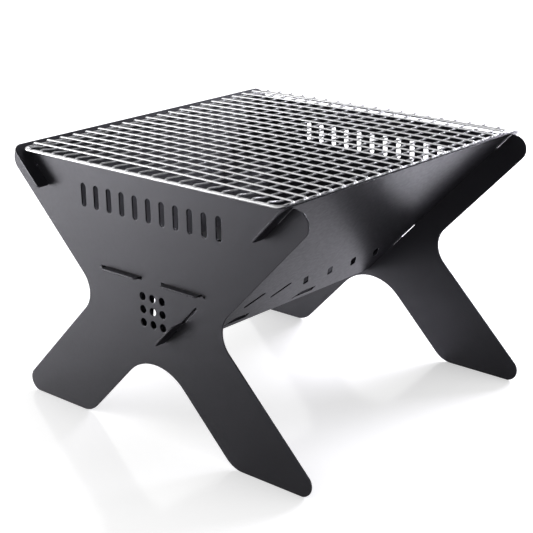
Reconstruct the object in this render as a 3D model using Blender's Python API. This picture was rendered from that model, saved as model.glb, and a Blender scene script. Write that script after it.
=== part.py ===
"""Folding campfire grill: two X-shaped end plates, two leaning side panels, a charcoal plate
and a wire grate. Nothing is screwed or hinged: slots and tabs hold it together.

Metres, +Z up. X runs across the X-shaped plates, Y along the grill, and the origin is on the
ground under the middle of the grill.
"""
import math

import bmesh
import bpy
from mathutils import Matrix, Vector

MM = 0.001

# Sheet steel and the gap between pieces that touch
SHEET = 1.5 * MM
GAP = 0.3 * MM
SLOT = SHEET + 2 * GAP

# End plates, in their own plane: x across, z up
PLATES_APART = 300.0 * MM
EAR_HEIGHT = 236.2 * MM
TOP_EDGE_HEIGHT = 235.0 * MM
ARM_EDGE_LEVEL = 46.8 * MM
LEG_OUTER_REACH = 188.1 * MM
LEG_INNER_REACH = 88.2 * MM
EAR_RADIUS = 12.0 * MM
FOOT_RADIUS = 11.0 * MM
TOE_RADIUS = 25.0 * MM
WAIST_RADIUS = 23.0 * MM
ARCH_RADIUS = 47.0 * MM
NOTCH_DEPTH = 24.7 * MM

# Side panels: both lean outward at 45 degrees, and their middle planes meet at this height
LEAN = math.radians(45.0)
MEETING_HEIGHT = 80.5 * MM
PANEL_TOP_HEIGHT = 239.0 * MM
MEETING_LEVEL = (PANEL_TOP_HEIGHT - MEETING_HEIGHT) / math.sin(LEAN)
PANEL_TAB_REACH = 12.5 * MM
PANEL_TAB_DROP = 45.7 * MM
PANEL_TAB_RADIUS = 9.0 * MM
SMALL_RADIUS = 2.5 * MM
RIGHT_PANEL_LENGTH = 233.7 * MM

# Hooked tabs of the right panel, and the end plates' diagonal slots that hold them
DIAGONAL_TOP = 150.3 * MM
DIAGONAL_BOTTOM = 187.1 * MM
HOOK_TOP = 172.7 * MM
HOOK_BOTTOM = 205.7 * MM
HOOK_REACH = 13.3 * MM

# Slanted vents in the side panels, mirrored about the middle
VENT_PITCH = 34.8 * MM
VENT_LEVEL = 187.7 * MM
VENT_LENGTH = 23.5 * MM
VENT_WIDTH = 5.5 * MM
VENT_SLANT = math.radians(52.0)
VENTS_EACH_HALF = 4

# Lower tabs of the left panel in the right panel's slots
KEY_TAB_OFFSET = 46.3 * MM
KEY_TAB_WIDTH = 18.6 * MM
KEY_TAB_PROUD = 0.6 * MM
KEY_SLOT_WIDTH = 19.8 * MM
KEY_SLOT_TOP = 217.2 * MM
KEY_LEG = 8.5 * MM
KEY_LEG_WIDTH = 2.5 * MM

# Charcoal plate
TRAY_HEIGHT = 144.8 * MM
TRAY_SLOT_HEIGHT = 2.6 * MM
TRAY_SLOT_WIDTH = 50.5 * MM
TRAY_SLOT_OFFSET = 37.0 * MM
TONGUE_WIDTH = 42.0 * MM
TONGUE_REACH = 5.5 * MM
NIB_WIDTH = 2.6 * MM
NIB_REACH = 2.0 * MM
AIR_SLOT_LENGTH = 26.0 * MM
AIR_SLOT_WIDTH = 7.0 * MM
AIR_SLOT_ROWS = 7
AIR_SLOT_PITCH = 37.0 * MM
AIR_SLOT_OFFSET = 28.0 * MM

# Air holes in the end plates: a row of upright vents, and a square of round holes below
VENT_ROW_HEIGHT = 205.5 * MM
VENT_ROW_PITCH = 16.0 * MM
VENT_ROW_COUNT = 11
UPRIGHT_VENT_WIDTH = 6.0 * MM
UPRIGHT_VENT_LENGTH = 21.0 * MM
HOLE_SQUARE_HEIGHT = 117.2 * MM
HOLE_PITCH = 11.7 * MM
HOLE_RADIUS = 3.5 * MM

# Grate: heights are from the ground, and hooks turn down round the frame wire
FRAME_WIRE = 3.0 * MM
MESH_WIRE = 1.8 * MM
FRAME_HALF_WIDTH = 149.7 * MM
FRAME_HALF_LENGTH = 156.2 * MM
FRAME_CORNER = 6.0 * MM
FRAME_HEIGHT = TOP_EDGE_HEIGHT + GAP + FRAME_WIRE / 2
WIRE_OVER_FRAME = (FRAME_WIRE + MESH_WIRE) / 2 + GAP
LONG_WIRES = 19
LONG_PITCH = 15.5 * MM
LONG_HOOK_TURN = math.radians(48.0)
LONG_DROP = MESH_WIRE + GAP
LONG_DROP_START = 1.0 * MM
LONG_DROP_END = 10.7 * MM
CROSS_WIRES = 20
CROSS_PITCH = 15.05 * MM
CROSS_HOOK_TURN = math.radians(84.0)
HOOK_STEPS = 5
CROWN = 1.3 * MM
CROWN_STEPS = 3
SAG = 1.1 * MM
SAG_HALF_LENGTH = PLATES_APART / 2 - SHEET
SAG_STEPS = 6

# Facets
ARC_STEP = math.radians(16.0)
HOLE_STEPS = 16
SLOT_END_STEPS = 8
SHARP_ANGLE = math.radians(30.0)

BLACK_STEEL = dict(color=(0.035, 0.034, 0.037, 1.0), roughness=0.48, metallic=0.25)
BRIGHT_STEEL = dict(color=(0.78, 0.78, 0.79, 1.0), roughness=0.18, metallic=1.0)


# Outlines

def arc_points(centre, radius, start, end, steps):
    """Points on an arc, both ends included."""
    points = []
    for i in range(steps + 1):
        angle = start + (end - start) * i / steps
        points.append((centre[0] + radius * math.cos(angle), centre[1] + radius * math.sin(angle)))
    return points


def rounded_outline(corners):
    """Closed outline through corners (x, y, radius), each sharp corner turned into an arc."""
    outline = []
    count = len(corners)
    for i, (x, y, radius) in enumerate(corners):
        if radius == 0.0:
            outline.append((x, y))
            continue
        here = Vector((x, y))
        before = (Vector(corners[i - 1][:2]) - here).normalized()
        after = (Vector(corners[(i + 1) % count][:2]) - here).normalized()
        half = before.angle(after) / 2
        centre = here + (before + after).normalized() * radius / math.sin(half)
        start = here + before * radius / math.tan(half) - centre
        turn = math.pi - 2 * half
        side = 1.0 if before.x * after.y - before.y * after.x < 0 else -1.0
        steps = max(3, round(turn / ARC_STEP))
        first = math.atan2(start.y, start.x)
        outline += arc_points(centre, radius, first, first + side * turn, steps)
    return outline


def circle_outline(centre, radius):
    """Closed circle."""
    return arc_points(centre, radius, 0.0, 2 * math.pi, HOLE_STEPS)[:-1]


def round_slot(centre, length, width, angle=0.0):
    """Closed long hole with round ends, its length at an angle to the first axis."""
    radius = width / 2
    reach = length / 2 - radius
    points = arc_points((reach, 0), radius, -math.pi / 2, math.pi / 2, SLOT_END_STEPS)
    points += arc_points((-reach, 0), radius, math.pi / 2, 3 * math.pi / 2, SLOT_END_STEPS)
    return turned(points, centre, angle)


def square_slot(centre, length, width, angle=0.0):
    """Closed long hole with square ends, its length at an angle to the first axis."""
    x, y = length / 2, width / 2
    return turned([(x, -y), (x, y), (-x, y), (-x, -y)], centre, angle)


def turned(points, centre, angle):
    """Points turned about zero and then moved to centre."""
    turn = Matrix.Rotation(angle, 2)
    return [tuple(Vector(centre) + turn @ Vector(p)) for p in points]


# Solids

def steel(name, look):
    """Principled material from a colour, a roughness and a metallic value."""
    material = bpy.data.materials.new(name)
    material.use_nodes = True
    shader = material.node_tree.nodes["Principled BSDF"]
    shader.inputs["Base Color"].default_value = look["color"]
    shader.inputs["Roughness"].default_value = look["roughness"]
    shader.inputs["Metallic"].default_value = look["metallic"]
    material.diffuse_color = look["color"]
    return material


def sheet_object(name, outline, holes):
    """A flat piece of sheet with holes, in its local XY plane, its thickness centred on it."""
    bm = bmesh.new()
    edges = []
    for loop in [outline] + holes:
        ring = [bm.verts.new((x, y, -SHEET / 2)) for x, y in loop]
        for i, vert in enumerate(ring):
            edges.append(bm.edges.new((ring[i - 1], vert)))
    bmesh.ops.triangle_fill(bm, use_beauty=True, use_dissolve=False, edges=edges)
    faces = list(bm.faces)
    extruded = bmesh.ops.extrude_face_region(bm, geom=faces, use_keep_orig=True)
    raised = [item for item in extruded["geom"] if isinstance(item, bmesh.types.BMVert)]
    bmesh.ops.translate(bm, verts=raised, vec=(0, 0, SHEET))
    bmesh.ops.recalc_face_normals(bm, faces=list(bm.faces))
    mesh = bpy.data.meshes.new(name)
    bm.to_mesh(mesh)
    bm.free()
    mesh.shade_smooth()
    mesh.set_sharp_from_angle(angle=SHARP_ANGLE)
    mesh.materials.append(steel(name, BLACK_STEEL))
    thing = bpy.data.objects.new(name, mesh)
    bpy.context.scene.collection.objects.link(thing)
    return thing


def wire_object(name, points, diameter, closed=False):
    """A round wire along a path, as a curve with filled caps."""
    curve = bpy.data.curves.new(name, "CURVE")
    curve.dimensions = "3D"
    curve.bevel_depth = diameter / 2
    curve.bevel_resolution = 2
    curve.use_fill_caps = not closed
    spline = curve.splines.new("POLY")
    spline.points.add(len(points) - 1)
    for target, point in zip(spline.points, points):
        target.co = (*point, 1.0)
    spline.use_cyclic_u = closed
    spline.use_smooth = True
    curve.materials.append(steel(name, BRIGHT_STEEL))
    thing = bpy.data.objects.new(name, curve)
    bpy.context.scene.collection.objects.link(thing)
    return thing


# End plates

def down_slope(side, along):
    """Point (x, z) on a side panel's middle plane, measured down the slope from its top edge."""
    z = PANEL_TOP_HEIGHT - along * math.sin(LEAN)
    return side * (z - MEETING_HEIGHT), z


def end_plate_outline():
    """X-shaped outline: all sloping edges are at 45 degrees, feet and ears have rounded tips, and
    a notch beside each ear takes a side panel."""
    waist_height = (LEG_OUTER_REACH + ARM_EDGE_LEVEL) / 2
    waist_x = LEG_OUTER_REACH - waist_height
    half_notch = SLOT / 2 * math.sqrt(2)
    bottom_x, bottom_z = down_slope(1, NOTCH_DEPTH + GAP)
    square_end = SLOT / 2 / math.sqrt(2)
    right = [
        (LEG_INNER_REACH, 0.0, TOE_RADIUS),
        (LEG_OUTER_REACH, 0.0, FOOT_RADIUS),
        (waist_x, waist_height, WAIST_RADIUS),
        (EAR_HEIGHT - ARM_EDGE_LEVEL, EAR_HEIGHT, EAR_RADIUS),
        (EAR_HEIGHT - MEETING_HEIGHT + half_notch, EAR_HEIGHT, 0.0),
        (bottom_x + square_end, bottom_z - square_end, 0.0),
        (bottom_x - square_end, bottom_z + square_end, 0.0),
        (TOP_EDGE_HEIGHT - MEETING_HEIGHT - half_notch, TOP_EDGE_HEIGHT, 0.0),
    ]
    left = [(-x, z, radius) for x, z, radius in reversed(right)]
    arch = [(0.0, LEG_INNER_REACH, ARCH_RADIUS)]
    return rounded_outline(right + left + arch)


def end_plate_holes():
    """The upright vents, the square of round air holes, and the slots that take the tabs."""
    holes = []
    for i in range(VENT_ROW_COUNT):
        x = (i - (VENT_ROW_COUNT - 1) / 2) * VENT_ROW_PITCH
        holes.append(round_slot((x, VENT_ROW_HEIGHT), UPRIGHT_VENT_LENGTH, UPRIGHT_VENT_WIDTH,
                                math.pi / 2))
    for column in (-1, 0, 1):
        for row in (-1, 0, 1):
            centre = (column * HOLE_PITCH, HOLE_SQUARE_HEIGHT + row * HOLE_PITCH)
            holes.append(circle_outline(centre, HOLE_RADIUS))
    for side in (-1, 1):
        holes.append(square_slot((side * TRAY_SLOT_OFFSET, TRAY_HEIGHT), TRAY_SLOT_WIDTH,
                                 TRAY_SLOT_HEIGHT))
    middle = down_slope(1, (DIAGONAL_TOP + DIAGONAL_BOTTOM) / 2)
    holes.append(square_slot(middle, DIAGONAL_BOTTOM - DIAGONAL_TOP, SLOT, LEAN))
    return holes


def build_end_plate(name, side):
    """One end plate, upright across the grill. side is -1 at the front and 1 at the back."""
    plate = sheet_object(name, end_plate_outline(), end_plate_holes())
    plate.rotation_euler = (math.pi / 2, 0.0, 0.0)
    plate.location = (0.0, side * (PLATES_APART - SHEET) / 2, 0.0)
    return plate


# Side panels, drawn with u along the grill and v down the slope from the top edge

def panel_end(lower_edge, hooked):
    """One end of a side panel at positive u, as corners from the top edge down to lower_edge."""
    inner_face = PLATES_APART / 2 - SHEET - GAP
    outer_face = PLATES_APART / 2 + GAP
    tab_end = PLATES_APART / 2 + PANEL_TAB_REACH
    corners = [
        (tab_end, 0.0, PANEL_TAB_RADIUS),
        (tab_end, PANEL_TAB_DROP, SMALL_RADIUS),
        (outer_face, PANEL_TAB_DROP, SMALL_RADIUS / 2),
        (outer_face, NOTCH_DEPTH, 0.0),
        (inner_face, NOTCH_DEPTH, 0.0),
    ]
    if hooked:
        hook_end = PLATES_APART / 2 + HOOK_REACH
        corners += [
            (inner_face, HOOK_TOP, 0.0),
            (outer_face, HOOK_TOP, 0.0),
            (hook_end, HOOK_TOP + SMALL_RADIUS, SMALL_RADIUS),
            (hook_end, HOOK_BOTTOM, 2 * SMALL_RADIUS),
            (outer_face, HOOK_BOTTOM, SMALL_RADIUS / 2),
            (outer_face, DIAGONAL_BOTTOM - GAP, 0.0),
            (inner_face, DIAGONAL_BOTTOM - GAP, 0.0),
        ]
    corners.append((inner_face, lower_edge, SMALL_RADIUS))
    return corners


def panel_vents():
    """Row of slanted vents whose lower ends lean towards the middle of the panel."""
    vents = []
    for side in (-1, 1):
        for i in range(VENTS_EACH_HALF):
            u = side * (i + 0.5) * VENT_PITCH
            vents.append(round_slot((u, VENT_LEVEL), VENT_LENGTH, VENT_WIDTH, side * VENT_SLANT))
    return vents


def key_slots():
    """Slots of the right panel for the left panel's tabs. Each has a slanted leg at its front."""
    slots = []
    across = KEY_LEG_WIDTH / math.sqrt(2)
    bottom = MEETING_LEVEL + SLOT / 2
    for side in (-1, 1):
        front = side * KEY_TAB_OFFSET - KEY_SLOT_WIDTH / 2
        back = front + KEY_SLOT_WIDTH
        tip = (front - KEY_LEG, KEY_SLOT_TOP + KEY_LEG)
        heel = (tip[0] + across, tip[1] + across)
        bend = (heel[0] + heel[1] - bottom, bottom)
        slots.append([(back, KEY_SLOT_TOP), (back, bottom), bend, heel, tip, (front, KEY_SLOT_TOP)])
    return slots


def place_panel(panel, side):
    """Lay a panel's u along Y and its v down the slope on one side of the grill."""
    top_x, top_z = down_slope(side, 0.0)
    along = Vector((0.0, 1.0, 0.0))
    down = Vector((-side * math.cos(LEAN), 0.0, -math.sin(LEAN)))
    normal = along.cross(down)
    turn = Matrix((along, down, normal)).transposed()
    panel.rotation_euler = turn.to_euler()
    panel.location = (top_x, 0.0, top_z)


def other_end(corners):
    """Corners of the end at negative u, in the order that closes the outline."""
    return [(-u, v, radius) for u, v, radius in reversed(corners)]


def build_right_panel():
    """Right side panel: it runs on past the left one, and its hooks hold the end plates."""
    end = panel_end(RIGHT_PANEL_LENGTH, hooked=True)
    outline = rounded_outline(end + other_end(end))
    panel = sheet_object("side_panel_right", outline, panel_vents() + key_slots())
    place_panel(panel, 1)


def build_left_panel():
    """Left side panel: its lower edge stands on the right panel, and two tabs go through it."""
    edge = MEETING_LEVEL - SHEET / 2 - GAP
    tab_edge = MEETING_LEVEL + SHEET / 2 + KEY_TAB_PROUD
    end = panel_end(edge, hooked=False)
    tabs = []
    for middle in (KEY_TAB_OFFSET, -KEY_TAB_OFFSET):
        back, front = middle + KEY_TAB_WIDTH / 2, middle - KEY_TAB_WIDTH / 2
        tabs += [(back, edge, 0.0), (back, tab_edge, 0.0), (front, tab_edge, 0.0), (front, edge, 0.0)]
    outline = rounded_outline(end + tabs + other_end(end))
    panel = sheet_object("side_panel_left", outline, panel_vents())
    place_panel(panel, -1)


# Charcoal plate

def tray_end():
    """One end of the charcoal plate at positive y: a wide tongue and a narrow nib on each side."""
    underside = TRAY_HEIGHT - SHEET / 2
    half_width = underside - MEETING_HEIGHT - (SHEET / 2 + GAP) * math.sqrt(2)
    inner_face = PLATES_APART / 2 - SHEET - GAP
    tongue_end = PLATES_APART / 2 + TONGUE_REACH
    nib_end = PLATES_APART / 2 + NIB_REACH
    root_outer = TRAY_SLOT_OFFSET + TRAY_SLOT_WIDTH / 2 - GAP
    tongue_outer = root_outer - 2 * NIB_WIDTH
    tongue_inner = tongue_outer - TONGUE_WIDTH
    half = [
        (half_width, inner_face, 0.0),
        (root_outer, inner_face, 0.0),
        (root_outer, nib_end, 0.0),
        (root_outer - NIB_WIDTH, nib_end, 0.0),
        (root_outer - NIB_WIDTH, inner_face + GAP, 0.0),
        (tongue_outer, inner_face + GAP, 0.0),
        (tongue_outer, tongue_end, SMALL_RADIUS),
        (tongue_inner, tongue_end, SMALL_RADIUS),
        (tongue_inner, inner_face, 0.0),
    ]
    return half + [(-x, y, radius) for x, y, radius in reversed(half)]


def build_charcoal_plate():
    """Level plate that lies between the side panels, with tabs through the end plates."""
    end = tray_end()
    outline = rounded_outline(end + [(-x, -y, radius) for x, y, radius in end])
    holes = []
    for row in range(AIR_SLOT_ROWS):
        y = (row - (AIR_SLOT_ROWS - 1) / 2) * AIR_SLOT_PITCH
        for x in (-AIR_SLOT_OFFSET, AIR_SLOT_OFFSET):
            holes.append(round_slot((x, y), AIR_SLOT_LENGTH, AIR_SLOT_WIDTH))
    plate = sheet_object("charcoal_plate", outline, holes)
    plate.location = (0.0, 0.0, TRAY_HEIGHT)


# Grate

def sag(y):
    """How far the grate hangs between the end plates, at a distance from the grill's middle."""
    return SAG * max(0.0, 1 - (y / SAG_HALF_LENGTH) ** 2)


def sag_places():
    """Places along the grill, front to back, where a hanging wire's path has a point."""
    return [SAG_HALF_LENGTH * (2 * i / SAG_STEPS - 1) for i in range(SAG_STEPS + 1)]


def frame_path():
    """Rounded rectangle of the frame wire's middle line, its long sides hanging a little."""
    right = [(FRAME_HALF_WIDTH, -FRAME_HALF_LENGTH, FRAME_CORNER)]
    right += [(FRAME_HALF_WIDTH, y, 0.0) for y in sag_places()]
    right.append((FRAME_HALF_WIDTH, FRAME_HALF_LENGTH, FRAME_CORNER))
    left = [(-x, -y, radius) for x, y, radius in right]
    return [(x, y, -sag(y)) for x, y in rounded_outline(right + left)]


def wire_end(half_span, turn):
    """End of a mesh wire in its upright plane, from its tip to the top of the frame wire, as
    (along, up) from the frame wire's height."""
    points = []
    for i in range(HOOK_STEPS + 1):
        angle = turn * (1 - i / HOOK_STEPS)
        along = half_span + WIRE_OVER_FRAME * math.sin(angle)
        points.append((along, WIRE_OVER_FRAME * math.cos(angle)))
    return points


def both_ends(end, middle):
    """Whole wire path from one end's points and those between the ends, the far end mirrored."""
    return end + middle + [(-along, up) for along, up in reversed(end)]


def crown(x):
    """How far the mesh stands above its two sides, at a distance from the grill's middle."""
    return CROWN * (1 - (x / FRAME_HALF_WIDTH) ** 2)


def long_path(x):
    """Path (y, up) of a long wire: over the frame's end, then down to run under the cross wires."""
    low = WIRE_OVER_FRAME - LONG_DROP + crown(x)
    drop_end = FRAME_HALF_LENGTH - LONG_DROP_END
    drop = [(FRAME_HALF_LENGTH - LONG_DROP_START, WIRE_OVER_FRAME), (drop_end, low - sag(drop_end))]
    middle = [(y, low - sag(y)) for y in reversed(sag_places()[1:-1])]
    return both_ends(wire_end(FRAME_HALF_LENGTH, LONG_HOOK_TURN) + drop, middle)


def cross_path():
    """Path (x, up) of a cross wire: over the frame's side, and slightly bowed upward."""
    bow = []
    for i in range(CROWN_STEPS):
        x = FRAME_HALF_WIDTH * (1 - (i + 0.5) / CROWN_STEPS)
        bow.append((x, WIRE_OVER_FRAME + crown(x)))
    return both_ends(wire_end(FRAME_HALF_WIDTH, CROSS_HOOK_TURN) + bow, [])


def build_grate():
    """Frame wire, long wires that lie over its ends, and cross wires that lie over its sides."""
    grate = bpy.data.objects.new("grate", None)
    grate.location = (0.0, 0.0, FRAME_HEIGHT)
    bpy.context.scene.collection.objects.link(grate)
    wires = [wire_object("grate_frame_wire", frame_path(), FRAME_WIRE, closed=True)]
    for i in range(LONG_WIRES):
        x = (i - (LONG_WIRES - 1) / 2) * LONG_PITCH
        path = [(x, y, up) for y, up in long_path(x)]
        wires.append(wire_object(f"grate_long_wire_{i + 1:02d}", path, MESH_WIRE))
    for i in range(CROSS_WIRES):
        y = (i - (CROSS_WIRES - 1) / 2) * CROSS_PITCH
        path = [(x, y, up - sag(y)) for x, up in cross_path()]
        wires.append(wire_object(f"grate_cross_wire_{i + 1:02d}", path, MESH_WIRE))
    for wire in wires:
        wire.parent = grate


def clear_scene():
    """Remove whatever the scene holds."""
    for thing in list(bpy.data.objects):
        bpy.data.objects.remove(thing)


def main():
    """Build the whole grill."""
    clear_scene()
    build_end_plate("end_plate_front", -1)
    build_end_plate("end_plate_rear", 1)
    build_right_panel()
    build_left_panel()
    build_charcoal_plate()
    build_grate()


main()
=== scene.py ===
"""Looks of the folding campfire grill: black coated sheet steel, a bright wire grate and a studio.

The sheets and wires are drawn again with fine curves, rounded edges and full materials, each in
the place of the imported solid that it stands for. Metres, +Z up, X across the end plates, Y along
the grill, zero on the ground under its middle.
"""

import logging
import math
import random
from dataclasses import dataclass
from enum import Enum

import bmesh
import bpy
from mathutils import Matrix, Vector


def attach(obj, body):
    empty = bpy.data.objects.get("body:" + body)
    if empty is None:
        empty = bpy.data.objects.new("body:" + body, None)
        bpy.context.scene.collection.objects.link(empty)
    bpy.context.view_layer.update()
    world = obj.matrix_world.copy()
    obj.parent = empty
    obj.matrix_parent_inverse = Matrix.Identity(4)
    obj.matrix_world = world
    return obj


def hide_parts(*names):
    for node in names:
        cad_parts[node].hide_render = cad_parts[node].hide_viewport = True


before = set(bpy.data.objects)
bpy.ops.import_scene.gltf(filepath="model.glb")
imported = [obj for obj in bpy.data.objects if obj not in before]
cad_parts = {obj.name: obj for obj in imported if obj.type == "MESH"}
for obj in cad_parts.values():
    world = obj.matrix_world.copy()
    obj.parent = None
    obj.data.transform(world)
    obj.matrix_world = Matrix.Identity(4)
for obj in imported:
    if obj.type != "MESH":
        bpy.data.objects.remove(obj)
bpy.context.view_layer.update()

MM = 0.001
LOG = logging.getLogger("campfire_grill")

SHARP_ANGLE = math.radians(50.0)

Point2 = tuple[float, float]
Point3 = tuple[float, float, float]
Size2 = tuple[float, float]
Range = tuple[float, float]
Corner = tuple[float, float, float]
Loop = list[Point2]
Ring = list[bmesh.types.BMVert]
Colour = tuple[float, float, float]
Socket = bpy.types.NodeSocket


class Side(Enum):
    """Side of the grill that a panel leans to."""

    LEFT = -1
    RIGHT = 1


class End(Enum):
    """End of the grill that a plate stands at."""

    FRONT = -1
    REAR = 1


class Run(Enum):
    """Way that a mesh wire runs in the grate."""

    LONG = "long"
    CROSS = "cross"


class Body(Enum):
    """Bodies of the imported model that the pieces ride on."""

    STAND = "stand"
    LEFT_PANEL = "left_panel"
    GRATE = "grate"


class Slot(Enum):
    """Names of the material slots."""

    BLACK_STEEL = "black_steel"
    BRIGHT_WIRE = "bright_wire"


# Outlines

@dataclass(frozen=True)
class Pen:
    """Draws the flat outlines that sheets are cut to."""

    arc_step: float = math.radians(6.0)
    least_steps: int = 3

    def arc(self, centre: Point2, radius: float, start: float, end: float) -> Loop:
        """Points on an arc, both ends included.

        Args:
            centre: Centre of the arc.
            radius: Radius of the arc.
            start: Angle of the first point.
            end: Angle of the last point.

        Returns:
            The points in order.
        """
        steps = max(self.least_steps, round(abs(end - start) / self.arc_step))
        angles = (start + (end - start) * i / steps for i in range(steps + 1))
        return [(centre[0] + radius * math.cos(a), centre[1] + radius * math.sin(a)) for a in angles]

    def corner(self, before: Point2, here: Corner, after: Point2) -> Loop:
        """One corner of a path, turned into an arc where it has a radius.

        Args:
            before: Point that the path comes from.
            here: The corner and its radius.
            after: Point that the path goes on to.

        Returns:
            The points that stand for the corner.
        """
        x, y, radius = here
        if radius == 0.0:
            return [(x, y)]
        point = Vector((x, y))
        back = (Vector(before) - point).normalized()
        ahead = (Vector(after) - point).normalized()
        half = back.angle(ahead) / 2
        centre = point + (back + ahead).normalized() * radius / math.sin(half)
        start = point + back * radius / math.tan(half) - centre
        turn = math.pi - 2 * half
        side = 1.0 if back.x * ahead.y - back.y * ahead.x < 0 else -1.0
        first = math.atan2(start.y, start.x)
        return self.arc((centre.x, centre.y), radius, first, first + side * turn)

    def outline(self, corners: list[Corner]) -> Loop:
        """Closed outline through corners, each with its radius.

        Args:
            corners: Corners in order, as x, y and radius.

        Returns:
            The closed outline, its last point not repeated.
        """
        count = len(corners)
        points: Loop = []
        for i, here in enumerate(corners):
            points += self.corner(corners[i - 1][:2], here, corners[(i + 1) % count][:2])
        return points

    def path(self, corners: list[Corner]) -> Loop:
        """Open path through corners, each inner one with its radius.

        Args:
            corners: Corners in order, as x, y and radius.

        Returns:
            The points of the path.
        """
        points: Loop = [corners[0][:2]]
        for before, here, after in zip(corners, corners[1:], corners[2:]):
            points += self.corner(before[:2], here, after[:2])
        return points + [corners[-1][:2]]

    def circle(self, centre: Point2, radius: float) -> Loop:
        """Closed circle round a centre."""
        return self.arc(centre, radius, 0.0, 2 * math.pi)[:-1]

    def long_hole(self, centre: Point2, size: Size2, angle: float = 0.0, rounded: bool = True) -> Loop:
        """Long hole with round or square ends.

        Args:
            centre: Middle of the hole.
            size: Its whole length and its width.
            angle: Angle of the length to the first axis.
            rounded: Whether its ends are round.

        Returns:
            The closed outline of the hole.
        """
        x, y = size[0] / 2, size[1] / 2
        if not rounded:
            return turned([(x, -y), (x, y), (-x, y), (-x, -y)], centre, angle)
        quarter = math.pi / 2
        points = self.arc((x - y, 0.0), y, -quarter, quarter)
        points += self.arc((y - x, 0.0), y, quarter, 3 * quarter)
        return turned(points, centre, angle)


def turned(points: Loop, centre: Point2, angle: float) -> Loop:
    """Points turned about zero and then moved, so that zero comes to the centre."""
    turn = Matrix.Rotation(angle, 2)
    return [tuple(Vector(centre) + turn @ Vector(p)) for p in points]


def mirrored(corners: list[Corner]) -> list[Corner]:
    """The same corners at the other end of the first axis, in the order that closes an outline."""
    return [(-x, y, radius) for x, y, radius in reversed(corners)]


def grown(loop: Loop, distance: float) -> Loop:
    """Outline moved to its left-hand side, seen along its own direction.

    Args:
        loop: The closed outline.
        distance: How far each of its edges moves.

    Returns:
        The moved outline, with as many points.
    """
    points = [Vector(p) for p in loop]
    moved: Loop = []
    for i, here in enumerate(points):
        back = (here - points[i - 1]).normalized()
        ahead = (points[(i + 1) % len(points)] - here).normalized()
        left_back, left_ahead = Vector((-back.y, back.x)), Vector((-ahead.y, ahead.x))
        across = (left_back + left_ahead).normalized()
        moved.append(tuple(here + across * distance / across.dot(left_ahead)))
    return moved


def area(loop: Loop) -> float:
    """Area inside a closed outline, negative where it runs clockwise."""
    return sum(a[0] * b[1] - b[0] * a[1] for a, b in zip(loop, loop[1:] + loop[:1])) / 2


# Finishes

@dataclass(frozen=True)
class Relief:
    """How deep a pattern is, in metres, and how strongly it shows."""

    depth: float
    strength: float


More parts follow.
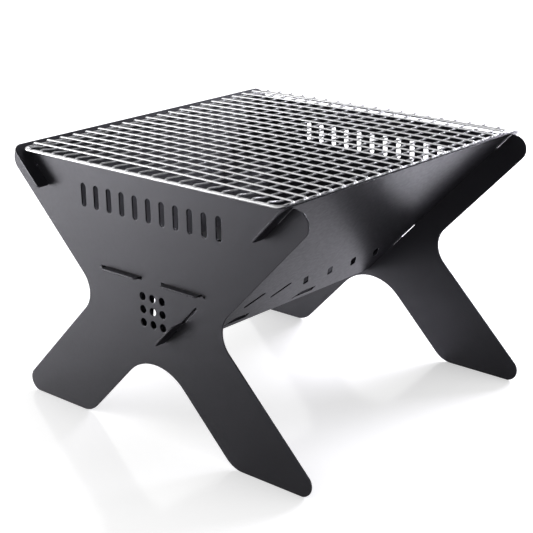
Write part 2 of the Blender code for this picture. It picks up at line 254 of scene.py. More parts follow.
@dataclass(frozen=True)
class NodeBoard:
    """Helper that lays out the nodes of a material or of the world."""

    tree: bpy.types.NodeTree
    layer_strength: float = 0.55

    @classmethod
    def of(cls, owner: bpy.types.Material | bpy.types.World) -> "NodeBoard":
        """The board of a material or a world, its nodes switched on."""
        owner.use_nodes = True
        return cls(owner.node_tree)

    @property
    def shader(self) -> bpy.types.Node:
        """A material's own Principled shader."""
        return self.tree.nodes["Principled BSDF"]

    def add(self, kind: str, **settings: object) -> bpy.types.Node:
        """Put a new node on the board.

        Args:
            kind: Blender's name of its type.
            settings: Properties of the node and their values.

        Returns:
            The node.
        """
        node = self.tree.nodes.new(kind)
        for name, value in settings.items():
            setattr(node, name, value)
        return node

    def feed(self, target: Socket, value: Socket | float) -> None:
        """Link an input to an output, or set it to a plain number.

        Args:
            target: The input.
            value: The output, or the number.
        """
        if isinstance(value, bpy.types.NodeSocket):
            self.tree.links.new(value, target)
        else:
            target.default_value = value

    def noise(self, where: Socket, scale: float, layers: float = 3.0) -> Socket:
        """Noise over the surface.

        Args:
            where: The coordinates, in metres.
            scale: Waves to the metre.
            layers: How many finer layers it has.

        Returns:
            The noise's value.
        """
        node = self.add("ShaderNodeTexNoise")
        node.inputs["Scale"].default_value = scale
        node.inputs["Detail"].default_value = layers
        node.inputs["Roughness"].default_value = self.layer_strength
        self.feed(node.inputs["Vector"], where)
        return node.outputs["Fac"]

    def band(self, value: Socket, low: float, high: float, out_low: Socket | float,
             out_high: Socket | float, smooth: bool = False) -> Socket:
        """Value moved from one range to another, and held inside it.

        Args:
            value: The value to move.
            low: Where the first range starts.
            high: Where the first range ends.
            out_low: Where the second range starts.
            out_high: Where the second range ends.
            smooth: Whether it eases in and out.

        Returns:
            The moved value.
        """
        node = self.add("ShaderNodeMapRange")
        node.interpolation_type = "SMOOTHSTEP" if smooth else "LINEAR"
        for name, number in zip(("Value", "From Min", "From Max", "To Min", "To Max"),
                                (value, low, high, out_low, out_high)):
            self.feed(node.inputs[name], number)
        return node.outputs["Result"]

    def maths(self, operation: str, first: Socket | float, second: Socket | float) -> Socket:
        """Two values put together.

        Args:
            operation: Blender's name of the operation.
            first: The first value.
            second: The second value.

        Returns:
            The result.
        """
        node = self.add("ShaderNodeMath", operation=operation)
        self.feed(node.inputs[0], first)
        self.feed(node.inputs[1], second)
        return node.outputs["Value"]

    def blend(self, share: Socket, first: Socket | Colour, second: Socket | Colour) -> Socket:
        """Two colours mixed.

        Args:
            share: How much of the second colour shows.
            first: The first colour, or a link to it.
            second: The second colour, or a link to it.

        Returns:
            The mixed colour.
        """
        node = self.add("ShaderNodeMix", data_type="RGBA")
        self.feed(node.inputs["Factor"], share)
        for name, colour in (("A", first), ("B", second)):
            socket = [s for s in node.inputs if s.name == name and s.type == "RGBA"][0]
            self.feed(socket, colour if isinstance(colour, bpy.types.NodeSocket) else (*colour, 1.0))
        return [s for s in node.outputs if s.type == "RGBA"][0]

    def bump(self, height: Socket, relief: Relief, under: Socket | None = None) -> Socket:
        """Small relief of the surface.

        Args:
            height: The pattern, from 0 to 1.
            relief: How deep it is and how strongly it shows.
            under: Coarser relief below this one.

        Returns:
            The bent normal.
        """
        node = self.add("ShaderNodeBump")
        node.inputs["Distance"].default_value = relief.depth
        node.inputs["Strength"].default_value = relief.strength
        self.feed(node.inputs["Height"], height)
        if under is not None:
            self.feed(node.inputs["Normal"], under)
        return node.outputs["Normal"]

    def seen(self, camera: Socket | float, reflected: Socket | float, other: Socket | float) -> Socket:
        """Value that depends on the kind of ray that arrives.

        Args:
            camera: Value for the camera.
            reflected: Value for glossy and transmission rays.
            other: Value for all other rays.

        Returns:
            The value.
        """
        path = self.add("ShaderNodeLightPath")
        glossy = self.maths("MAXIMUM", path.outputs["Is Glossy Ray"], path.outputs["Is Transmission Ray"])
        rest = self.band(glossy, 0.0, 1.0, other, reflected)
        return self.band(path.outputs["Is Camera Ray"], 0.0, 1.0, rest, camera)


@dataclass(frozen=True)
class SatinBlackCoat:
    """Heat-resistant black coating on sheet steel: satin, with a fine grain; its cut edges lighter and
    glossier, partly thin-coat wear and partly a painted highlight.
    """

    colour: Colour = (0.0080, 0.0078, 0.0096)
    pale: Colour = (0.0120, 0.0118, 0.0138)
    # Cut-edge colour: partly worn coat, partly a painted highlight along every edge.
    worn_and_highlit_edge: Colour = (0.028, 0.028, 0.031)
    tint: Colour = (0.90, 0.885, 1.0)
    roughness: Range = (0.34, 0.42)
    edge_roughness: float = 0.20
    specular: float = 0.75
    clouds: float = 22.0
    cloud_range: Range = (0.35, 0.65)
    mottle: float = 1900.0 / 7
    mottle_range: Range = (0.3, 0.7)
    mottle_relief: Relief = Relief(0.00009, 0.35)
    grain: float = 1900.0
    grain_relief: Relief = Relief(0.00006, 0.5)
    fine_layers: float = 2.0
    worn_and_highlit_from: float = 0.7
    worn_and_highlit_share: Range = (0.7, 1.0)
    shift: Point3 = (1.0, 0.7, 0.3)

    def material(self, name: str, pattern: float) -> bpy.types.Material:
        """Make the coating for one sheet.

        Args:
            name: Name of the material.
            pattern: How far the patterns are shifted, so that no two sheets are the same.

        Returns:
            The material.
        """
        material = bpy.data.materials.new(name)
        board = NodeBoard.of(material)
        shader = board.shader.inputs
        shift = board.add("ShaderNodeMapping")
        shift.inputs["Location"].default_value = [pattern * share for share in self.shift]
        board.feed(shift.inputs["Vector"], board.add("ShaderNodeTexCoord").outputs["Object"])
        spot = shift.outputs["Vector"]
        clouds = board.band(board.noise(spot, self.clouds), *self.cloud_range, 0.0, 1.0)
        mottle = board.noise(spot, self.mottle, self.fine_layers)
        grain = board.noise(spot, self.grain, self.fine_layers)
        # Lighter, glossier cut edges: partly worn coat, partly a painted highlight along every edge.
        edge = board.add("ShaderNodeAttribute", attribute_name="edge").outputs["Fac"]
        most_worn_and_highlit = board.band(mottle, *self.mottle_range, *self.worn_and_highlit_share)
        wear_and_highlight = board.band(edge, self.worn_and_highlit_from, 1.0, 0.0, most_worn_and_highlit)
        coat = board.blend(clouds, self.colour, self.pale)
        board.feed(shader["Base Color"], board.blend(wear_and_highlight, coat, self.worn_and_highlit_edge))
        satin = board.band(mottle, *self.mottle_range, *self.roughness)
        board.feed(shader["Roughness"], board.band(wear_and_highlight, 0.0, 1.0, satin, self.edge_roughness))
        shader["Specular IOR Level"].default_value = self.specular
        shader["Specular Tint"].default_value = (*self.tint, 1.0)
        coarse = board.bump(mottle, self.mottle_relief)
        board.feed(shader["Normal"], board.bump(grain, self.grain_relief, coarse))
        material.diffuse_color = (*self.colour, 1.0)
        return material


@dataclass(frozen=True)
class BrightDrawnWire:
    """Bright stainless wire with faint drawing lines along it."""

    colour: Colour = (0.85, 0.85, 0.86)
    dull: Colour = (0.74, 0.74, 0.75)
    roughness: Range = (0.24, 0.34)
    patches: float = 60.0
    patch_range: Range = (0.4, 0.7)
    lines: float = 9000.0
    line_range: Range = (0.3, 0.7)
    line_layers: float = 2.0
    line_relief: Relief = Relief(0.00001, 0.25)
    stretch: float = 0.012

    def material(self, name: str) -> bpy.types.Material:
        """Make the finish. The mesh's UV map holds metres along and round the wire.

        Args:
            name: Name of the material.

        Returns:
            The material.
        """
        material = bpy.data.materials.new(name)
        board = NodeBoard.of(material)
        shader = board.shader.inputs
        place = board.add("ShaderNodeTexCoord").outputs["UV"]
        shift = board.add("ShaderNodeMapping")
        shift.inputs["Scale"].default_value = (self.stretch, 1.0, 1.0)
        board.feed(shift.inputs["Vector"], place)
        lines = board.noise(shift.outputs["Vector"], self.lines, self.line_layers)
        patches = board.band(board.noise(place, self.patches), *self.patch_range, 0.0, 1.0)
        board.feed(shader["Base Color"], board.blend(patches, self.colour, self.dull))
        board.feed(shader["Roughness"], board.band(lines, *self.line_range, *self.roughness))
        shader["Metallic"].default_value = 1.0
        board.feed(shader["Normal"], board.bump(lines, self.line_relief))
        material.diffuse_color = (*self.colour, 1.0)
        return material


# Stock that the pieces are made from

def placed(name: str, data: bpy.types.ID) -> bpy.types.Object:
    """Put a new object in the scene.

    Args:
        name: Name of the object.
        data: Its mesh, light or camera.

    Returns:
        The object.
    """
    thing = bpy.data.objects.new(name, data)
    bpy.context.scene.collection.objects.link(thing)
    return thing


def finished(name: str, bm: bmesh.types.BMesh) -> bpy.types.Object:
    """Put a mesh in the scene with flat faces kept flat and rounded edges smooth.

    Args:
        name: Name of the piece.
        bm: Its mesh, which is freed.

    Returns:
        The new object.
    """
    bmesh.ops.recalc_face_normals(bm, faces=list(bm.faces))
    mesh = bpy.data.meshes.new(name)
    bm.to_mesh(mesh)
    bm.free()
    mesh.shade_smooth()
    mesh.set_sharp_from_angle(angle=SHARP_ANGLE)
    piece = placed(name, mesh)
    normals = piece.modifiers.new("flat faces stay flat", "WEIGHTED_NORMAL")
    normals.keep_sharp = True
    return piece


@dataclass(frozen=True)
class SheetStock:
    """Sheet steel that is cut to an outline, its cut edges a little rounded."""

    thickness: float = 1.5 * MM
    gap: float = 0.3 * MM
    edge_round: float = 0.28 * MM
    edge_steps: int = 3
    worn_and_highlit_width: float = 0.9 * MM
    pen: Pen = Pen()

    @property
    def slot(self) -> float:
        """Width of a slot that takes a sheet."""
        return self.thickness + 2 * self.gap

    def profile(self) -> list[tuple[float, float, float]]:
        """The cut edge from one face to the other.

        Returns:
            Its points, as inset, height and how much of the lighter cut-edge colour (worn coat and
            painted highlight) shows there.
        """
        half = self.thickness / 2
        upper = [(self.worn_and_highlit_width, half, 0.0)]
        for i in range(self.edge_steps + 1):
            angle = math.pi / 2 * i / self.edge_steps
            inset = self.edge_round * (1 - math.sin(angle))
            upper.append((inset, half - self.edge_round * (1 - math.cos(angle)), 1.0))
        return upper + [(inset, -height, worn_and_highlit) for inset, height, worn_and_highlit in reversed(upper)]

    def raise_edge(self, bm: bmesh.types.BMesh, loop: Loop) -> list[Ring]:
        """Make one cut edge, from one face of the sheet to the other.

        Args:
            bm: The mesh that it goes into, with a layer for how much of the lighter cut-edge colour, worn
                coat and painted highlight, a point shows.
            loop: The outline, with the steel on its left-hand side.

        Returns:
            The rings of points along the edge, the upper face's first.
        """
        worn_and_highlit = bm.verts.layers.float["edge"]
        rings = []
        for inset, height, value in self.profile():
            ring = [bm.verts.new((x, y, height)) for x, y in grown(loop, inset)]
            for vert in ring:
                vert[worn_and_highlit] = value
            rings.append(ring)
        for upper, lower in zip(rings, rings[1:]):
            for i in range(len(loop)):
                bm.faces.new((upper[i - 1], lower[i - 1], lower[i], upper[i]))
        return rings

    def cut(self, name: str, outline: Loop, holes: list[Loop]) -> bpy.types.Object:
        """Cut a sheet in its own plane.

        Args:
            name: Name of the piece.
            outline: Its outline.
            holes: The outlines of its holes.

        Returns:
            The sheet, its thickness centred on its local XY plane.
        """
        bm = bmesh.new()
        bm.verts.layers.float.new("edge")
        upper_rims, lower_rims = [], []
        loops = [outline if area(outline) > 0 else outline[::-1]]
        loops += [hole[::-1] if area(hole) > 0 else hole for hole in holes]
        for loop in loops:
            rings = self.raise_edge(bm, loop)
            for ring, rims in ((rings[0], upper_rims), (rings[-1], lower_rims)):
                rims += [bm.edges.get((ring[i - 1], ring[i])) for i in range(len(ring))]
        for rims in (upper_rims, lower_rims):
            bmesh.ops.triangle_fill(bm, use_beauty=True, use_dissolve=False, edges=rims)
        return finished(name, bm)


@dataclass(frozen=True)
class WireStock:
    """Round wire that is bent along a path."""

    diameter: float
    sides: int = 14
    end_round: float = 0.25 * MM

    def raise_rings(self, bm: bmesh.types.BMesh, points: list[Vector], closed: bool) -> list[Ring]:
        """Put a ring of points round each point of the middle line, without a twist.

        Args:
            bm: The mesh that they go into.
            points: The middle line.
            closed: Whether its end is welded to its start.

        Returns:
            The rings in order.
        """
        last = len(points) - 1
        rings, across = [], None
        for i, point in enumerate(points):
            before = points[i - 1] if closed or i > 0 else point
            after = points[(i + 1) % len(points)] if closed or i < last else point
            along = (after - before).normalized()
            across = along.orthogonal().normalized() if across is None else across
            across = (across - along * across.dot(along)).normalized()
            up = along.cross(across)
            radius = self.diameter / 2
            if not closed and i in (0, last):
                radius -= self.end_round
            turns = [2 * math.pi * k / self.sides for k in range(self.sides)]
            rings.append([bm.verts.new(point + (across * math.cos(a) + up * math.sin(a)) * radius)
                          for a in turns])
        return rings

    def wrap(self, bm: bmesh.types.BMesh, points: list[Vector], rings: list[Ring]) -> None:
        """Join rings to a skin, and write metres along and round the wire to the UV map.

        Args:
            bm: The mesh that the rings are in.
            points: The middle line, its first point repeated where it is closed.
            rings: One ring for each point.
        """
        metres = bm.loops.layers.uv["metres"]
        girth = math.pi * self.diameter
        end = 0.0
        for here, there, near, far in zip(points, points[1:], rings, rings[1:]):
            start, end = end, end + (there - here).length
            for k in range(self.sides):
                after = (k + 1) % self.sides
                face = bm.faces.new((near[k], near[after], far[after], far[k]))
                spots = ((start, k), (start, k + 1), (end, k + 1), (end, k))
                for loop, (along, side) in zip(face.loops, spots):
                    loop[metres].uv = (along, girth * side / self.sides)

    def bend(self, name: str, points: list[Vector], closed: bool = False) -> bpy.types.Object:
        """Make a wire along points.

        Args:
            name: Name of the piece.
            points: Its middle line.
            closed: Whether its end is welded to its start.

        Returns:
            The wire, with metres along and round it in its UV map.
        """
        bm = bmesh.new()
        bm.loops.layers.uv.new("metres")
        rings = self.raise_rings(bm, points, closed)
        if closed:
            self.wrap(bm, points + points[:1], rings + rings[:1])
        else:
            self.wrap(bm, points, rings)
            bm.faces.new(rings[0])
            bm.faces.new(rings[-1])
        return finished(name, bm)


def put(piece: bpy.types.Object, node: str, body: Body, slot: Slot, finish: bpy.types.Material) -> None:
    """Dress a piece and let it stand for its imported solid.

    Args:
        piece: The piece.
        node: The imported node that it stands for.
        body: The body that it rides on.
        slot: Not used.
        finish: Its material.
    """
    piece.data.materials.clear()
    piece.data.materials.append(finish)
    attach(piece, body.value)
    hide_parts(node)
    LOG.info("%s is dressed and rides on %s", node, body.value)


# Sub-assemblies

@dataclass(frozen=True)
class Layout:
    """What the pieces share: where plates and panels stand, and the slots that they meet in.

    Both side panels lean at 45 degrees, and their middle planes cross low down. Levels on a panel
    are distances down its slope from its top edge.
    """

    apart: float = 300.0 * MM
    top_edge: float = 235.0 * MM
    angle: float = math.radians(45.0)
    meeting_height: float = 80.5 * MM
    panel_top: float = 239.0 * MM
    notch: float = 24.7 * MM
    diagonal: Range = (150.3 * MM, 187.1 * MM)
    tray_height: float = 144.8 * MM
    tray_slot: Size2 = (50.5 * MM, 2.6 * MM)
    tray_offset: float = 37.0 * MM

    @property
    def meeting_level(self) -> float:
        """Level at which the middle planes cross."""
        return (self.panel_top - self.meeting_height) / math.sin(self.angle)

    def down(self, side: Side, level: float) -> Point2:
        """Point (x, z) on the middle plane of one side's panel, at a level."""
        z = self.panel_top - level * math.sin(self.angle)
        return side.value * (z - self.meeting_height), z


@dataclass
class EndPlates:
    """The two X-shaped plates that stand at the ends of the grill."""

    sheet: SheetStock
    layout: Layout
    coat: SatinBlackCoat
    ear_height: float = 236.2 * MM
    arm_level: float = 46.8 * MM
    leg_outer: float = 188.1 * MM
    leg_inner: float = 88.2 * MM
    ear_radius: float = 12.0 * MM
    foot_radius: float = 11.0 * MM
    toe_radius: float = 25.0 * MM
    waist_radius: float = 23.0 * MM
    arch_radius: float = 47.0 * MM
    vent_height: float = 205.5 * MM
    vent_pitch: float = 16.0 * MM
    vent_count: int = 11
    vent_size: Size2 = (21.0 * MM, 6.0 * MM)
    hole_height: float = 117.2 * MM
    hole_pitch: float = 11.7 * MM
    hole_radius: float = 3.5 * MM
    pattern: float = 3.0

    def outline(self) -> Loop:
        """X-shaped outline with rounded ears and feet, and a notch beside each ear.

        Returns:
            The closed outline, as x and height.
        """
        waist_z = (self.leg_outer + self.arm_level) / 2
        half_notch = self.sheet.slot / 2 * math.sqrt(2)
        square_end = self.sheet.slot / 2 / math.sqrt(2)
        bottom_x, bottom_z = self.layout.down(Side.RIGHT, self.layout.notch + self.sheet.gap)
        level = self.layout.meeting_height
        right = [
            (self.leg_inner, 0.0, self.toe_radius),
            (self.leg_outer, 0.0, self.foot_radius),
            (self.leg_outer - waist_z, waist_z, self.waist_radius),
            (self.ear_height - self.arm_level, self.ear_height, self.ear_radius),
            (self.ear_height - level + half_notch, self.ear_height, 0.0),
            (bottom_x + square_end, bottom_z - square_end, 0.0),
            (bottom_x - square_end, bottom_z + square_end, 0.0),
            (self.layout.top_edge - level - half_notch, self.layout.top_edge, 0.0),
        ]
        return self.sheet.pen.outline(right + mirrored(right) + [(0.0, self.leg_inner, self.arch_radius)])

    def holes(self) -> list[Loop]:
        """Upright vents, a square of round holes, and the slots that take the tabs.

        Returns:
            The outline of each hole.
        """
        pen = self.sheet.pen
        middle = (self.vent_count - 1) / 2
        holes = [pen.long_hole(((i - middle) * self.vent_pitch, self.vent_height), self.vent_size,
                               math.pi / 2) for i in range(self.vent_count)]
        for column in (-1, 0, 1):
            for row in (-1, 0, 1):
                centre = (column * self.hole_pitch, self.hole_height + row * self.hole_pitch)
                holes.append(pen.circle(centre, self.hole_radius))
        for side in (-1, 1):
            centre = (side * self.layout.tray_offset, self.layout.tray_height)
            holes.append(pen.long_hole(centre, self.layout.tray_slot, rounded=False))
        top, bottom = self.layout.diagonal
        holes.append(pen.long_hole(self.layout.down(Side.RIGHT, (top + bottom) / 2),
                                   (bottom - top, self.sheet.slot), self.layout.angle, rounded=False))
        return holes

    def build(self) -> None:
        """Cut both plates and stand them up."""
        for end in End:
            name = f"end_plate_{end.name.lower()}"
            plate = self.sheet.cut(f"{name}_steel", self.outline(), self.holes())
            plate.rotation_euler = (math.pi / 2, 0.0, 0.0)
            plate.location = (0.0, end.value * (self.layout.apart - self.sheet.thickness) / 2, 0.0)
            finish = self.coat.material(f"{name}_coat", self.pattern + end.value)
            put(plate, name, Body.STAND, Slot.BLACK_STEEL, finish)


@dataclass
class SidePanels:
    """The two panels that lean outward between the end plates."""

    sheet: SheetStock
    layout: Layout
    coat: SatinBlackCoat
    tab_reach: float = 12.5 * MM
    tab_drop: float = 45.7 * MM
    tab_radius: float = 9.0 * MM
    small_radius: float = 2.5 * MM
    right_length: float = 233.7 * MM
    hook: Range = (172.7 * MM, 205.7 * MM)
    hook_reach: float = 13.3 * MM
    vent_pitch: float = 34.8 * MM
    vent_level: float = 187.7 * MM
    vent_size: Size2 = (23.5 * MM, 5.5 * MM)
    vent_slant: float = math.radians(52.0)
    vents_each_half: int = 4
    key_offset: float = 46.3 * MM
    key_tab: Size2 = (18.6 * MM, 0.6 * MM)
    key_slot_width: float = 19.8 * MM
    key_slot_top: float = 217.2 * MM
    key_leg: Size2 = (8.5 * MM, 2.5 * MM)
    right_pattern: float = 7.0
    left_pattern: float = 9.0

    def end_corners(self, lower_edge: float, hooked: bool) -> list[Corner]:
        """One end of a panel, with u along the grill and v down the slope.

        Args:
            lower_edge: How far down the slope the panel reaches.
            hooked: Whether it has a hooked tab low on the end.

        Returns:
            Corners from the top edge down.
        """
        outside = self.layout.apart / 2
        inner = outside - self.sheet.thickness - self.sheet.gap
        outer = outside + self.sheet.gap
        tab_end = outside + self.tab_reach
        small = self.small_radius
        corners = [(tab_end, 0.0, self.tab_radius), (tab_end, self.tab_drop, small),
                   (outer, self.tab_drop, small / 2), (outer, self.layout.notch, 0.0),
                   (inner, self.layout.notch, 0.0)]
        if hooked:
            top, bottom = self.hook
            hook_end = outside + self.hook_reach
            seat = self.layout.diagonal[1] - self.sheet.gap
            corners += [(inner, top, 0.0), (outer, top, 0.0), (hook_end, top + small, small),
                        (hook_end, bottom, 2 * small), (outer, bottom, small / 2),
                        (outer, seat, 0.0), (inner, seat, 0.0)]
        return corners + [(inner, lower_edge, small)]

    def vents(self) -> list[Loop]:
        """Slanted vents, mirrored about the middle of the panel.

        Returns:
            The outline of each vent.
        """
        vents = []
        for half in (-1, 1):
            for i in range(self.vents_each_half):
                centre = (half * (i + 0.5) * self.vent_pitch, self.vent_level)
                vents.append(self.sheet.pen.long_hole(centre, self.vent_size, half * self.vent_slant))
        return vents

    def key_slots(self) -> list[Loop]:
        """Slots of the right panel for the left panel's tabs, each with a slanted leg.

        Returns:
            The outline of each slot.
        """
        reach, width = self.key_leg
        across = width / math.sqrt(2)
        top, bottom = self.key_slot_top, self.layout.meeting_level + self.sheet.slot / 2
        slots = []
        for half in (-1, 1):
            front = half * self.key_offset - self.key_slot_width / 2
            back = front + self.key_slot_width
            tip = (front - reach, top + reach)
            heel = (tip[0] + across, tip[1] + across)
            bend = (heel[0] + heel[1] - bottom, bottom)
            slots.append([(back, top), (back, bottom), bend, heel, tip, (front, top)])
        return slots

    def left_outline(self) -> Loop:
        """Outline of the left panel, with two tabs on its lower edge.

        Returns:
            The closed outline.
        """
        width, proud = self.key_tab
        edge = self.layout.meeting_level - self.sheet.thickness / 2 - self.sheet.gap
        tab_edge = self.layout.meeting_level + self.sheet.thickness / 2 + proud
        end = self.end_corners(edge, hooked=False)
        tabs: list[Corner] = []
        for middle in (self.key_offset, -self.key_offset):
            back, front = middle + width / 2, middle - width / 2
            tabs += [(back, edge, 0.0), (back, tab_edge, 0.0), (front, tab_edge, 0.0),
                     (front, edge, 0.0)]
        return self.sheet.pen.outline(end + tabs + mirrored(end))

    def right_outline(self) -> Loop:
        """Outline of the right panel, with a hooked tab at each end."""
        end = self.end_corners(self.right_length, hooked=True)
        return self.sheet.pen.outline(end + mirrored(end))

    def lay(self, panel: bpy.types.Object, side: Side) -> None:
        """Lean a panel on one side of the grill.

        Args:
            panel: The flat panel.
            side: The side that it leans to.
        """
        top_x, top_z = self.layout.down(side, 0.0)
        along = Vector((0.0, 1.0, 0.0))
        down = Vector((-side.value * math.cos(self.layout.angle), 0.0, -math.sin(self.layout.angle)))
        turn = Matrix((along, down, along.cross(down))).transposed()
        panel.rotation_euler = turn.to_euler()
        panel.location = (top_x, 0.0, top_z)

    def build(self) -> None:
        """Cut both panels and lean them."""
        right_holes, left_holes = self.vents() + self.key_slots(), self.vents()
        for side, body, outline, holes, pattern in (
                (Side.RIGHT, Body.STAND, self.right_outline(), right_holes, self.right_pattern),
                (Side.LEFT, Body.LEFT_PANEL, self.left_outline(), left_holes, self.left_pattern)):
            name = f"side_panel_{side.name.lower()}"
            panel = self.sheet.cut(f"{name}_steel", outline, holes)
            self.lay(panel, side)
            finish = self.coat.material(f"{name}_coat", pattern)
            put(panel, name, body, Slot.BLACK_STEEL, finish)


@dataclass
class CharcoalPlate:
    """Level plate between the side panels, its tabs through the end plates."""

    sheet: SheetStock
    layout: Layout
    coat: SatinBlackCoat
    tongue: Size2 = (42.0 * MM, 5.5 * MM)
    nib: Size2 = (2.6 * MM, 2.0 * MM)
    small_radius: float = 2.5 * MM
    air_slot: Size2 = (26.0 * MM, 7.0 * MM)
    air_rows: int = 7
    air_pitch: float = 37.0 * MM
    air_offset: float = 28.0 * MM
    pattern: float = 5.0

    def end_corners(self) -> list[Corner]:
        """One end at positive y: a wide tongue and a narrow nib on each side.

        Returns:
            Corners from one side to the other.
        """
        gap, half_sheet = self.sheet.gap, self.sheet.thickness / 2
        half_width = (self.layout.tray_height - half_sheet - self.layout.meeting_height
                      - (half_sheet + gap) * math.sqrt(2))
        outside = self.layout.apart / 2
        inner = outside - self.sheet.thickness - gap
        tongue_end = outside + self.tongue[1]
        nib, nib_end = self.nib[0], outside + self.nib[1]
        root = self.layout.tray_offset + self.layout.tray_slot[0] / 2 - gap
        tongue_outer = root - 2 * nib
        tongue_inner = tongue_outer - self.tongue[0]
        half = [
            (half_width, inner, 0.0), (root, inner, 0.0), (root, nib_end, 0.0),
            (root - nib, nib_end, 0.0), (root - nib, inner + gap, 0.0),
            (tongue_outer, inner + gap, 0.0), (tongue_outer, tongue_end, self.small_radius),
            (tongue_inner, tongue_end, self.small_radius), (tongue_inner, inner, 0.0),
        ]
        return half + mirrored(half)

    def air_slots(self) -> list[Loop]:
        """Two rows of long holes that let air up through the charcoal.

        Returns:
            The outline of each hole.
        """
        slots = []
        for row in range(self.air_rows):
            y = (row - (self.air_rows - 1) / 2) * self.air_pitch
            for x in (-self.air_offset, self.air_offset):
                slots.append(self.sheet.pen.long_hole((x, y), self.air_slot))
        return slots

    def build(self) -> None:
        """Cut the plate and lay it level."""
        end = self.end_corners()
        outline = self.sheet.pen.outline(end + [(-x, -y, radius) for x, y, radius in end])
        plate = self.sheet.cut("charcoal_plate_steel", outline, self.air_slots())
        plate.location = (0.0, 0.0, self.layout.tray_height)
        put(plate, "charcoal_plate", Body.STAND, Slot.BLACK_STEEL,
            self.coat.material("charcoal_plate_coat", self.pattern))


def stations(reach: float, steps: int) -> list[float]:
    """Distances from the grill's middle, outermost first, where a bowed wire has a point."""
    return [reach * (1 - (i + 0.5) / steps) for i in range(steps)]


@dataclass
class Grate:
    """Wire frame with mesh wires over it, their ends hooked down round the frame wire."""

    sheet: SheetStock
    layout: Layout
    finish: BrightDrawnWire
    frame_wire: WireStock = WireStock(3.0 * MM, sides=18)
    mesh_wire: WireStock = WireStock(1.8 * MM)
    pen: Pen = Pen(math.radians(10.0))
    half_width: float = 149.7 * MM
    half_length: float = 156.2 * MM
    corner: float = 6.0 * MM
    long_wires: int = 19
    long_pitch: float = 15.5 * MM
    long_turn: float = math.radians(48.0)
    step_down: Range = (1.0 * MM, 10.7 * MM)
    step_radius: float = 8.0 * MM
    cross_wires: int = 20
    cross_pitch: float = 15.05 * MM
    cross_turn: float = math.radians(84.0)
    crown: float = 1.3 * MM
    crown_steps: int = 8
    sag: float = 1.1 * MM
    sag_steps: int = 6
    unevenness: float = math.radians(3.0)
    seed: int = 12

    @property
    def frame_height(self) -> float:
        """Height of the frame wire's middle line."""
        return self.layout.top_edge + self.sheet.gap + self.frame_wire.diameter / 2

    @property
    def sag_half(self) -> float:
        """Distance from the grill's middle to where the end plates carry the grate."""
        return self.layout.apart / 2 - self.sheet.thickness

    @property
    def over_frame(self) -> float:
        """Height of a mesh wire above the frame wire, middle line to middle line."""
        return (self.frame_wire.diameter + self.mesh_wire.diameter) / 2 + self.sheet.gap

    def frame_path(self) -> list[Vector]:
        """Rounded rectangle of the frame wire's middle line, its long sides hanging a little.

        Returns:
            The points of the line, its start not repeated.
        """
        x, y, radius = self.half_width, self.half_length, self.corner
        hanging = [self.sag_half] + stations(self.sag_half, self.sag_steps)
        side = [(x, place, 0.0) for place in [-p for p in hanging] + hanging[::-1]]
        right = [(x, -y, radius)] + side + [(x, y, radius)]
        outline = self.pen.outline(right + [(-px, -py, r) for px, py, r in right])
        return [Vector((px, py, self.frame_height - self.hang(py))) for px, py in outline]

    def hook(self, half_span: float, turn: float) -> Loop:
        """End of a mesh wire from its tip, turned down by an angle, to the top of the frame wire."""
        return self.pen.arc((half_span, 0.0), self.over_frame, math.pi / 2 - turn, math.pi / 2)

    def rise(self, x: float) -> float:
        """How far the mesh stands above its two sides, at a distance from the grill's middle."""
        return self.crown * (1 - (x / self.half_width) ** 2)

    def hang(self, y: float) -> float:
        """How far the grate hangs between the end plates, at a distance from the grill's middle."""
        return self.sag * max(0.0, 1 - (y / self.sag_half) ** 2)

    def half_path(self, run: Run, offset: float, nudge: float) -> Loop:
        """Half of a mesh wire, from the tip of its hook almost to its middle.

        Args:
            run: Which way the wire runs.
            offset: Distance of the wire from the grill's middle.
            nudge: How much further the hook turns than it should.

        Returns:
            Points as distance along and height above the frame wire.
        """
        if run is Run.CROSS:
            places = stations(self.half_width, self.crown_steps)
            bow = [(x, self.over_frame + self.rise(x)) for x in places]
            path = self.hook(self.half_width, self.cross_turn + nudge) + bow
            return [(x, up - self.hang(offset)) for x, up in path]
        start, stop = (self.half_length - inward for inward in self.step_down)
        low = self.over_frame - self.mesh_wire.diameter - self.sheet.gap + self.rise(offset)
        places = stations(self.sag_half, self.sag_steps)
        hanging = [(y, low - self.hang(y), 0.0) for y in places]
        step = self.pen.path([(self.half_length, self.over_frame, 0.0),
                              (start, self.over_frame, self.step_radius),
                              (stop, low - self.hang(stop), self.step_radius)] + hanging)
        return self.hook(self.half_length, self.long_turn + nudge) + step[1:]

    def wire_path(self, run: Run, offset: float, draw: random.Random) -> Loop:
        """Whole path of a mesh wire in its upright plane.

        Args:
            run: Which way the wire runs.
            offset: Distance of the wire from the grill's middle.
            draw: Source of the small differences between hooks.

        Returns:
            Points as distance along and height above the frame wire.
        """
        near, far = (self.half_path(run, offset, draw.uniform(-1.0, 0.0) * self.unevenness)
                     for _ in range(2))
        return near + [(-along, up) for along, up in reversed(far)]

    def build(self) -> None:
        """Bend the frame wire and lay the mesh wires over it."""
        draw = random.Random(self.seed)
        finish = self.finish.material("bright_drawn_wire")
        ring = self.frame_wire.bend("grate_frame_wire_steel", self.frame_path(), closed=True)
        put(ring, "grate_frame_wire", Body.GRATE, Slot.BRIGHT_WIRE, finish)
        for run, count, pitch in ((Run.LONG, self.long_wires, self.long_pitch),
                                  (Run.CROSS, self.cross_wires, self.cross_pitch)):
            for i in range(count):
                offset = (i - (count - 1) / 2) * pitch
                points = []
                for along, up in self.wire_path(run, offset, draw):
                    place = (offset, along) if run is Run.LONG else (along, offset)
                    points.append(Vector((*place, self.frame_height + up)))
                node = f"grate_{run.value}_wire_{i + 1:02d}"
                wire = self.mesh_wire.bend(f"{node}_steel", points)
                put(wire, node, Body.GRATE, Slot.BRIGHT_WIRE, finish)


# Studio

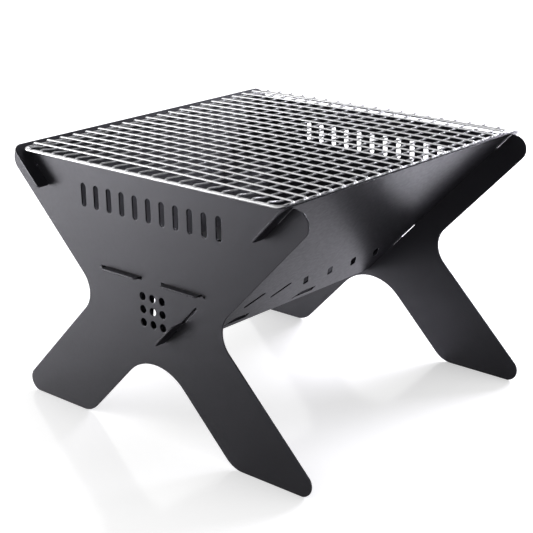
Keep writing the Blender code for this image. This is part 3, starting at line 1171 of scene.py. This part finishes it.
@dataclass(frozen=True)
class Lamp:
    """One soft lamp, aimed at a point of the grill."""

    name: str
    place: Point3
    aim: Point3
    size: Size2
    watts: float
    colour: Colour = (1.0, 1.0, 1.0)

    def light(self) -> None:
        """Hang the lamp."""
        data = bpy.data.lights.new(self.name, "AREA")
        data.shape = "RECTANGLE"
        data.size, data.size_y = self.size
        data.energy = self.watts
        data.color = self.colour
        lamp = placed(self.name, data)
        lamp.location = self.place
        direction = Vector(self.aim) - Vector(self.place)
        lamp.rotation_euler = direction.to_track_quat("-Z", "Y").to_euler()
        lamp.visible_camera = False


@dataclass
class Studio:
    """Pale floor, soft lamps, white surroundings and the camera at the photo's angle."""

    floor_half: float = 6.0
    floor_colour: Colour = (0.80, 0.80, 0.80)
    floor_roughness: float = 0.14
    floor_specular: float = 0.5
    floor_lift: Range = (0.87, 0.97)
    lift_ring: Range = (0.30, 1.2)
    # Painted contact shade: how far and how strongly ambient occlusion darkens the floor's glow.
    painted_contact_shade_reach: float = 0.20
    painted_contact_shade_power: float = 0.5
    painted_contact_shade_samples: int = 12
    reflected_lift: float = 0.07
    world_fill: float = 0.05
    horizon: float = 1.0
    ceiling: float = 0.04
    ceiling_from: Range = (0.70, 0.85)
    flag_towards: Point3 = (0.32, 0.70, 0.64)
    flag_edge: Range = (0.66, 0.92)
    flag: float = 0.03
    camera_place: Point3 = (0.78711, -0.87255, 0.51762)
    camera_azimuth: float = math.radians(42.284)
    camera_elevation: float = math.radians(18.78)
    camera_roll: float = -0.0200
    focal_pixels: float = 1353.43
    frame_pixels: int = 533
    sensor: float = 36.0
    lamps: tuple[Lamp, ...] = (
        Lamp("bank_front_left", (-1.20, -0.85, 0.35), (-0.10, -0.15, 0.20), (0.60, 0.50), 6.3),
        Lamp("low_strip_front_left", (-0.75, -0.72, 0.10), (-0.12, -0.15, 0.19), (0.35, 0.16), 0.85),
        Lamp("bank_behind", (0.0, 1.5, 0.6), (0.0, 0.0, 0.1), (1.0, 0.6), 44.0, (0.92, 0.91, 1.0)),
    )

    def floor_finish(self) -> bpy.types.Material:
        """Make a pale, slightly glossy white that shows the lamps' shadow, a painted contact shade near
        the grill and a faint reflection.

        Returns:
            The material.
        """
        material = bpy.data.materials.new("floor_white")
        board = NodeBoard.of(material)
        shader = board.shader.inputs
        shader["Base Color"].default_value = (*self.floor_colour, 1.0)
        shader["Roughness"].default_value = self.floor_roughness
        shader["Specular IOR Level"].default_value = self.floor_specular
        distance = board.add("ShaderNodeVectorMath", operation="LENGTH")
        board.feed(distance.inputs[0], board.add("ShaderNodeTexCoord").outputs["Object"])
        lift = board.band(distance.outputs["Value"], *self.lift_ring, *self.floor_lift, smooth=True)
        # Painted contact shade: ambient occlusion darkens the floor's glow near the grill and under it.
        painted_contact_shade = board.add("ShaderNodeAmbientOcclusion", samples=self.painted_contact_shade_samples)
        painted_contact_shade.inputs["Distance"].default_value = self.painted_contact_shade_reach
        shade = board.maths("POWER", painted_contact_shade.outputs["AO"], self.painted_contact_shade_power)
        lift = board.maths("MULTIPLY", lift, shade)
        glow = board.add("ShaderNodeEmission")
        board.feed(glow.inputs["Strength"],
                   board.seen(lift, board.maths("MULTIPLY", lift, self.reflected_lift), 0.0))
        both = board.add("ShaderNodeAddShader")
        board.feed(both.inputs[0], board.shader.outputs["BSDF"])
        board.feed(both.inputs[1], glow.outputs["Emission"])
        output = board.tree.nodes["Material Output"]
        board.feed(output.inputs["Surface"], both.outputs["Shader"])
        return material

    def floor(self) -> None:
        """Lay the floor under the grill."""
        bm = bmesh.new()
        reach = self.floor_half
        corners = [bm.verts.new((x, y, 0.0)) for x, y in
                   ((-reach, -reach), (reach, -reach), (reach, reach), (-reach, reach))]
        bm.faces.new(corners)
        mesh = bpy.data.meshes.new("floor")
        bm.to_mesh(mesh)
        bm.free()
        mesh.materials.append(self.floor_finish())
        floor = placed("floor", mesh)

    def surroundings(self) -> None:
        """White for the camera, and for reflections white but for a dark ceiling and a black flag."""
        world = bpy.data.worlds.new("white_studio")
        board = NodeBoard.of(world)
        background = board.tree.nodes["Background"].inputs
        background["Color"].default_value = (1.0, 1.0, 1.0, 1.0)
        place = board.add("ShaderNodeTexCoord").outputs["Generated"]
        direction = board.add("ShaderNodeSeparateXYZ")
        board.feed(direction.inputs["Vector"], place)
        overhead = board.band(direction.outputs["Z"], *self.ceiling_from, self.horizon, self.ceiling,
                              smooth=True)
        towards = board.add("ShaderNodeVectorMath", operation="DOT_PRODUCT")
        board.feed(towards.inputs[0], place)
        towards.inputs[1].default_value = self.flag_towards
        flagged = board.band(towards.outputs["Value"], *self.flag_edge, self.horizon, self.flag,
                             smooth=True)
        reflected = board.maths("MINIMUM", overhead, flagged)
        board.feed(background["Strength"], board.seen(1.0, reflected, self.world_fill))
        bpy.context.scene.world = world

    def camera(self) -> None:
        """Set the camera where the photo was taken from."""
        az, el, roll = self.camera_azimuth, self.camera_elevation, self.camera_roll
        back = Vector((math.sin(az) * math.cos(el), -math.cos(az) * math.cos(el), math.sin(el)))
        right = Vector((math.cos(az), math.sin(az), 0.0))
        up = back.cross(right)
        x_axis = right * math.cos(roll) + up * math.sin(roll)
        y_axis = up * math.cos(roll) - right * math.sin(roll)
        turn = Matrix((x_axis, y_axis, back)).transposed()
        data = bpy.data.cameras.new("camera")
        data.sensor_width = self.sensor
        data.lens = self.focal_pixels / self.frame_pixels * self.sensor
        camera = placed("camera", data)
        camera.matrix_world = Matrix.Translation(self.camera_place) @ turn.to_4x4()
        bpy.context.scene.camera = camera

    def build(self) -> None:
        """Set up the whole studio."""
        bpy.context.scene.view_settings.view_transform = "Standard"
        self.floor()
        self.surroundings()
        for lamp in self.lamps:
            lamp.light()
        self.camera()


def main() -> None:
    """Build the grill and its studio, and report each part."""
    logging.basicConfig(level=logging.INFO, format="%(name)s: %(message)s")
    sheet, layout, coat = SheetStock(), Layout(), SatinBlackCoat()
    for part in (Studio(), EndPlates(sheet, layout, coat), SidePanels(sheet, layout, coat),
                 CharcoalPlate(sheet, layout, coat), Grate(sheet, layout, BrightDrawnWire())):
        part.build()
        LOG.info("built %s", type(part).__name__)


if __name__ == "__main__":
    main()
